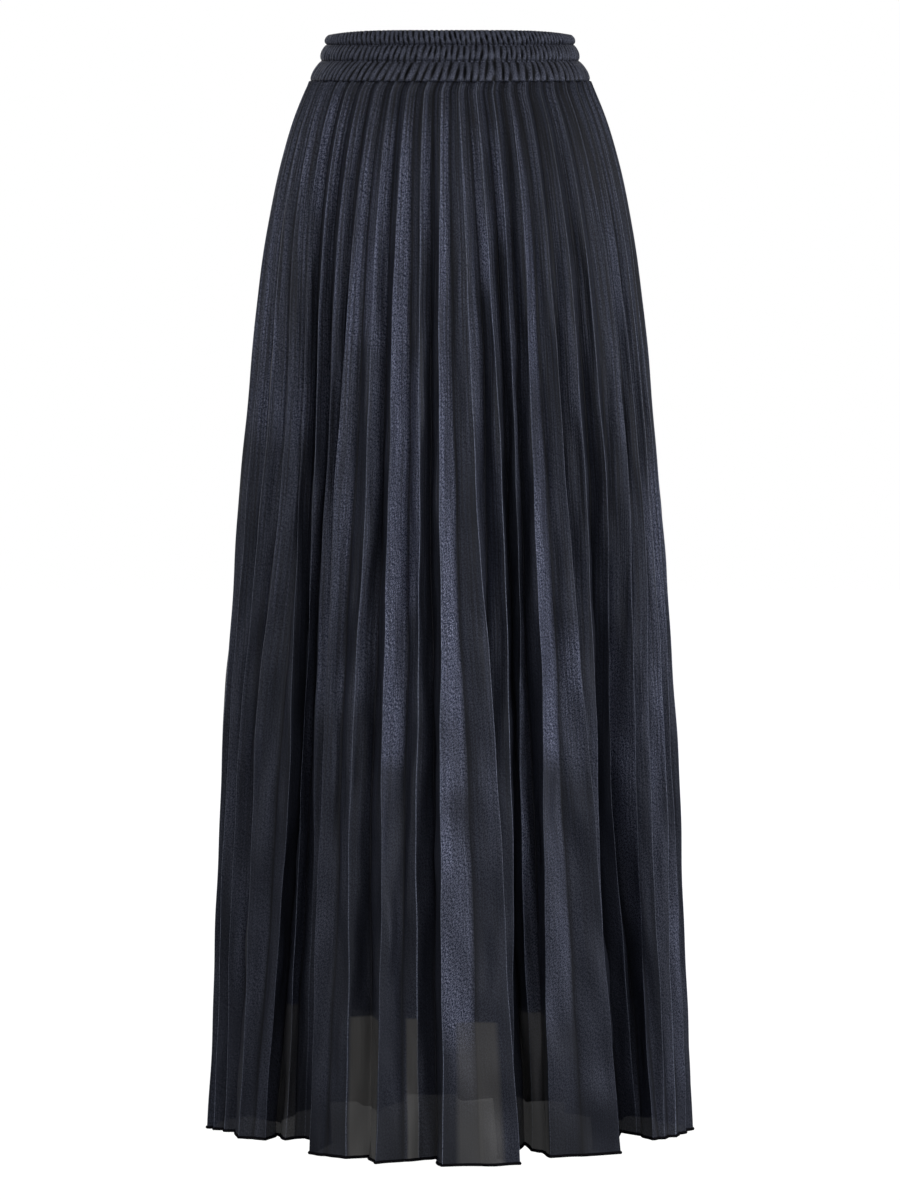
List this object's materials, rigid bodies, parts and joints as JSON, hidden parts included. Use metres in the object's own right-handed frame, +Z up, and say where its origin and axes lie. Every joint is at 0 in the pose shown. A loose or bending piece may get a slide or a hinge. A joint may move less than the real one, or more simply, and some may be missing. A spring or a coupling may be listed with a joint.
{
  "type": "pleated maxi skirt",
  "caption": "Long pull-on skirt in its worn, hollow form: shirred elastic waistband, sunray-pleated sheer panels and a shorter plain lining.",
  "frame": {"origin": "middle of the waistband, on its vertical axis and halfway up its height, where the wearer holds the skirt", "axes": "+Z up to the waist opening, front towards -Y, +X to the right as seen from the front"},
  "size_m": [0.4362, 0.3603, 0.9759],
  "materials": {
    "band_satin": "gathered dark navy satin over elastic",
    "pleated_satin": "sheer dark navy satin with a fine metallic glint, permanently pleated",
    "lining_cloth": "plain near-black woven lining, matt"
  },
  "bodies": {
    "root": {"waistband": "band_satin", "front_panel": "pleated_satin", "back_panel": "pleated_satin", "lining_front": "lining_cloth", "lining_back": "lining_cloth"}
  },
  "joints": []
}
